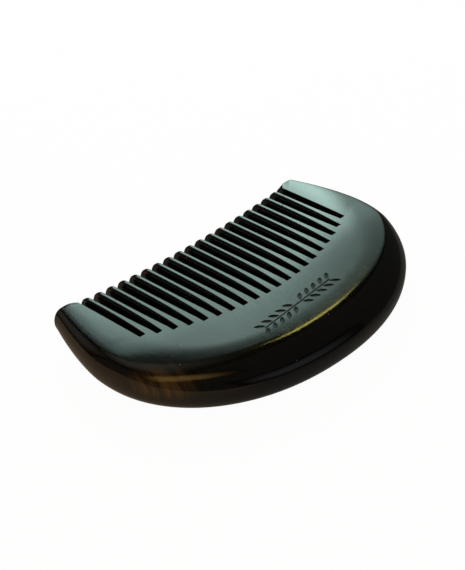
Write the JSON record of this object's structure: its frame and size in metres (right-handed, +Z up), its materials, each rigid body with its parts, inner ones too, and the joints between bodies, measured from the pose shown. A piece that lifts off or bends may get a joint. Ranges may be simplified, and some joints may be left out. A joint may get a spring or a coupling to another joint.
{
  "type": "beard comb",
  "caption": "Thick one-piece pocket beard comb in polished dark horn, with a rounded half-moon back, two end guards, tapered teeth and a shallow engraved leaf band.",
  "frame": {"origin": "middle of the comb's footprint, on the plane it rests on", "axes": "+X along the row of teeth, +Y towards the tooth tips, +Z up through the comb's thickness"},
  "size_m": [0.1, 0.0616, 0.0128],
  "materials": {
    "horn": "polished dark horn: satin faces, glossy rounded edge, faint brown streaks along the teeth"
  },
  "bodies": {
    "root": {"back": "horn", "left_guard": "horn", "right_guard": "horn", "tooth_01": "horn", "tooth_02": "horn", "tooth_03": "horn", "tooth_04": "horn", "tooth_05": "horn", "tooth_06": "horn", "tooth_07": "horn", "tooth_08": "horn", "tooth_09": "horn", "tooth_10": "horn", "tooth_11": "horn", "tooth_12": "horn", "tooth_13": "horn", "tooth_14": "horn", "tooth_15": "horn", "tooth_16": "horn", "tooth_17": "horn", "tooth_18": "horn", "tooth_19": "horn"}
  },
  "joints": []
}
